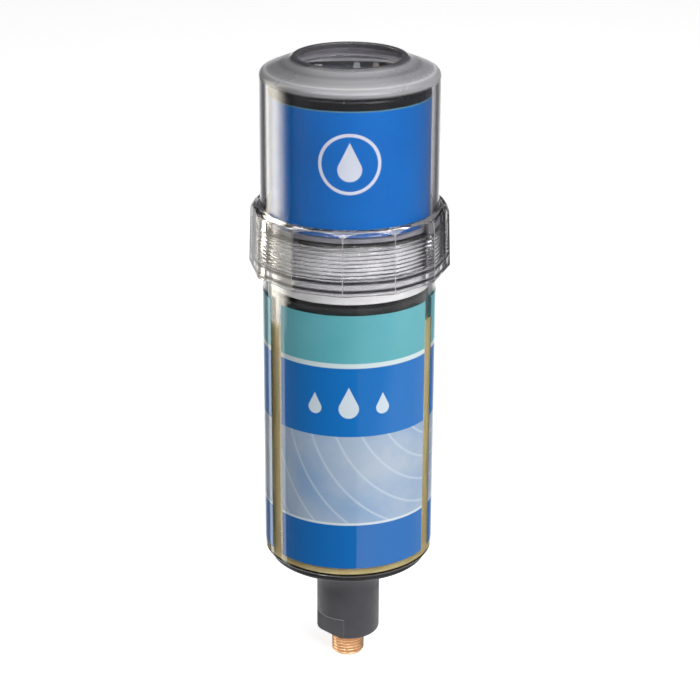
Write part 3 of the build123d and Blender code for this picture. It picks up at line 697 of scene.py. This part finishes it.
def nut_look():
    """The nut's clear plastic, with painted shade in two bands where its thread starts and a painted dark line along
    its foot, and painted highlights down its corners.
    """
    look = clear_moulding("nut_plastic", "FAFAFB", 0.02).darkens("BAB6BE", 80.0)
    # Painted shade: two dark bands on the bore where the thread starts, and a dark line along the foot.
    painted_shade_bands = (lead_top - 0.3, lead_top + 1.4), (lead_top - 3.5, lead_top - 1.9)
    x, y, z = look.place()
    inner = look.less(look.edge(look.distance(x, y), lead_radius + 0.3, 0.1))
    bands = look.maths("ADD", *(look.band(z, low, high, 0.4) for low, high in painted_shade_bands))
    painted_foot_shade = look.less(look.edge(z, nut_low + 0.25, 0.15))
    shade = look.maths("MAXIMUM", look.product(inner, bands), painted_foot_shade)
    # Painted highlights: thin pale lines down the nut's outer corners, which let less light through.
    from_corner = look.maths("SUBTRACT", look.azimuth(x, y), degrees(nut_turn) + 90)
    across = look.maths("PINGPONG", from_corner, degrees(half_side))
    painted_corner_highlight = look.product(look.less(look.edge(across, 0.34, 0.2)), look.less(inner))
    look.paint(look.mix(painted_corner_highlight, look.mix(shade, "FAFAFB", "2A282E"), "FFFFFF"))
    dull = look.maths("MAXIMUM", look.product(shade, 0.65), look.product(painted_corner_highlight, 0.32))
    look.feed(look.shader, {"Transmission Weight": look.less(dull)})
    return look


piece("clear_nut", loops(nut_rows()), nut_look(), "nut", "clear_nut", "union_nut", limit=20)

# ---- Camera and lamps ---------------------------------------------------------------------------------

scene = bpy.context.scene
eye_distance, eye_height, looks_down, roll = 0.7697, 0.42495, 21.594, 0.2212
camera = bpy.data.cameras.new("camera")
camera.lens, camera.sensor_width, camera.shift_x = 110.32, 36.0, 0.0014
view = bpy.data.objects.new("camera", camera)
view.matrix_world = (Matrix.Translation((0, -eye_distance, eye_height))
                     @ Matrix.Rotation(radians(90 - looks_down), 4, "X") @ Matrix.Rotation(radians(roll), 4, "Z"))
scene.collection.objects.link(view)
scene.camera = view
scene.view_settings.view_transform = "Standard"


def towards(bearing, distance):
    """X and Y at a distance from the axis and a bearing in degrees, from the front towards +X."""
    return distance * sin(radians(bearing)), -distance * cos(radians(bearing))


def softbox(name, bearing, distance, height, width, tall, power):
    """A soft light at a bearing from the front, turned towards the part. Reflections don't show it."""
    aim = Vector((0, 0, 0.12))
    light = bpy.data.lights.new(name, "AREA")
    light.shape, light.size, light.size_y, light.energy = "RECTANGLE", width, tall, power
    lamp = bpy.data.objects.new(name, light)
    at = Vector((*towards(bearing, distance), height))
    lamp.location = at
    lamp.rotation_euler = (aim - at).to_track_quat("-Z", "Y").to_euler()
    lamp.visible_glossy = False
    scene.collection.objects.link(lamp)


# The bearing is in degrees, the power in watts and the rest in metres.
softbox("key_softbox", 38, 1.15, 0.55, 0.6, 0.7, 9.4)
softbox("fill_softbox", -70, 1.0, 0.35, 0.7, 0.8, 0.25)
softbox("top_softbox", 150, 0.45, 1.05, 0.6, 0.6, 2.4)

# ---- Room ---------------------------------------------------------------------------------------------

# The camera sees white, and soft light comes from all sides alike. Reflections and what is seen through
# clear plastic show a white backdrop, a bright ceiling, a strip light high in front and a dim room round
# them. Strengths are shares of white, and a height is the upward part of a direction of length one.
dim_room, clear_room, ceiling_light, strip_light, soft_light = 0.12, 0.3, 2.4, 14.0, 0.2
backdrop_bearing, backdrop_height = 158.0, 0.04
ceiling_height, ceiling_slope = 0.62, 0.4
strip_bearing, strip_heights = 50.0, (0.58, 0.76)


class Room(Look):
    """The nodes of the world, made with the same helpers as a material's."""

    def __init__(self, owner):
        self.tree = owner.node_tree
        self.shader = self.tree.nodes["Background"]


def light_room():
    """A world for the scene, with each kind of ray shown what it should see."""
    world = bpy.data.worlds.new("studio")
    world.use_nodes = True
    scene.world = world
    room = Room(world)
    x, y, up = room.node("SeparateXYZ", {0: room.node("TexCoord").outputs["Generated"]}).outputs
    rays = room.node("LightPath").outputs
    bearing = room.maths("ABSOLUTE", room.azimuth(x, y))
    behind = room.edge(bearing, backdrop_bearing, 6.0)
    backdrop = room.product(behind, room.less(room.edge(up, backdrop_height, 0.06)))
    leaned = room.maths("SUBTRACT", up, room.product(y, ceiling_slope))
    ceiling = room.product(room.edge(leaned, ceiling_height, 0.15), ceiling_light)
    in_front = room.less(room.edge(bearing, strip_bearing, 8.0))
    strip = room.product(in_front, room.band(up, *strip_heights, 0.03), strip_light)
    dim = room.span(rays["Is Transmission Ray"], 0.0, 1.0, dim_room, clear_room)
    shown = room.maths("ADD", room.maths("MAXIMUM", room.maths("MAXIMUM", backdrop, ceiling), strip), dim)
    mirrored = room.maths("MAXIMUM", rays["Is Glossy Ray"], rays["Is Transmission Ray"])
    lit = room.maths("ADD", room.product(mirrored, room.maths("SUBTRACT", shown, soft_light)), soft_light)
    strength = room.maths("MAXIMUM", lit, rays["Is Camera Ray"])
    room.feed(room.shader, {"Color": (1, 1, 1, 1), "Strength": strength})


light_room()

# ---- Cards and floor ----------------------------------------------------------------------------------

# Glowing cards: a sheet on the left, and cards on the floor whose mirror images fall on the canister.
floor_z = cad_bounds[0][2] - 0.0002
card_z = floor_z + 0.0001
sheet_light, sheet_distance, sheet_low, sheet_high = 5.0, 0.6, -0.085, 0.9


def card(name, rows, strength, through=False, colour=(1, 1, 1, 1)):
    """A glowing card between two rows of points. Reflections show it, and clear plastic where through is set."""
    count = len(rows[0])
    mesh = bpy.data.meshes.new(name)
    mesh.from_pydata([point for row in rows for point in row], [],
                     [(i, i + 1, count + i + 1, count + i) for i in range(count - 1)])
    made = bpy.data.objects.new(name, mesh)
    scene.collection.objects.link(made)
    made.visible_camera = made.visible_diffuse = made.visible_shadow = made.visible_volume_scatter = False
    made.visible_transmission = through
    glow = Look(name + "_glow", "000000", 1.0, {"Specular IOR Level": 0.0, "Emission Color": colour})
    glow.feed(glow.shader, {"Emission Strength": strength(glow) if callable(strength) else strength})
    mesh.materials.append(glow.material)


def sheet_strength(glow):
    """Brighter towards the front, with both edges soft."""
    x, y, z = glow.place()
    bearing = glow.azimuth(x, y)
    faded = glow.product(glow.span(bearing, -86.0, -106.0), glow.span(bearing, -132.0, -127.0))
    return glow.product(faded, glow.span(bearing, -134.0, -106.0, 0.5, 1.0), sheet_light)


def right_strength(glow):
    """Fainter away from the part and round to the right."""
    x, y, z = glow.place()
    return glow.product(glow.span(y, -260.0, -150.0, 0.5, 1.6), glow.span(glow.azimuth(x, y), 20.0, 90.0, 1.0, 0.45))


def fan(bearings, near, far):
    """Two rows of points on the floor, where a ray mirrored by the canister's wall at each bearing comes down."""
    rows = []
    for away in (near, far):
        ends = [(towards(bearing, canister_wall * MM), towards(2 * bearing, away)) for bearing in bearings]
        rows.append([(wall[0] + out[0], wall[1] + out[1], card_z) for wall, out in ends])
    return rows


def arc(bearings, distance, height):
    """A row of points round the axis."""
    return [(*towards(bearing, distance), height) for bearing in bearings]


sheet_bearings, round_the_foot = range(-140, -75, 4), range(-180, 181, 10)
card("left_sheet", [arc(sheet_bearings, sheet_distance, height) for height in (sheet_low, sheet_high)],
     sheet_strength, True, (1, 0.95, 0.82, 1))
card("right_card", fan((5.6, *range(8, 63, 3)), 0.1, 0.45), right_strength)
card("far_left_card", fan((-69, -67.5, -66, -64.5), 0.06, 0.5), 2.0)
card("left_card", fan((-54, -52, -50, -48), 0.06, 0.5), 2.6)
card("foot_card", [arc(round_the_foot, distance, card_z) for distance in (0.001, 0.07)], 1.1)

left, right, front, back = -4, 4, -4, 6
floor_glow = 0.69  # added to the light on the floor, for the camera alone
floor_mesh = bpy.data.meshes.new("floor")
floor_mesh.from_pydata([(x, y, floor_z) for x, y in ((left, front), (right, front), (right, back), (left, back))],
                       [], [(0, 1, 2, 3)])
floor = bpy.data.objects.new("floor", floor_mesh)
floor.visible_glossy = floor.visible_transmission = False
scene.collection.objects.link(floor)
floor_look = Look("pale_floor", "FAFAFA", 0.9, {"Specular IOR Level": 0.0, "Emission Color": (1, 1, 1, 1)})
seen = floor_look.node("LightPath").outputs["Is Camera Ray"]
floor_look.feed(floor_look.shader, {"Emission Strength": floor_look.product(seen, floor_glow)})
floor_mesh.materials.append(floor_look.material)
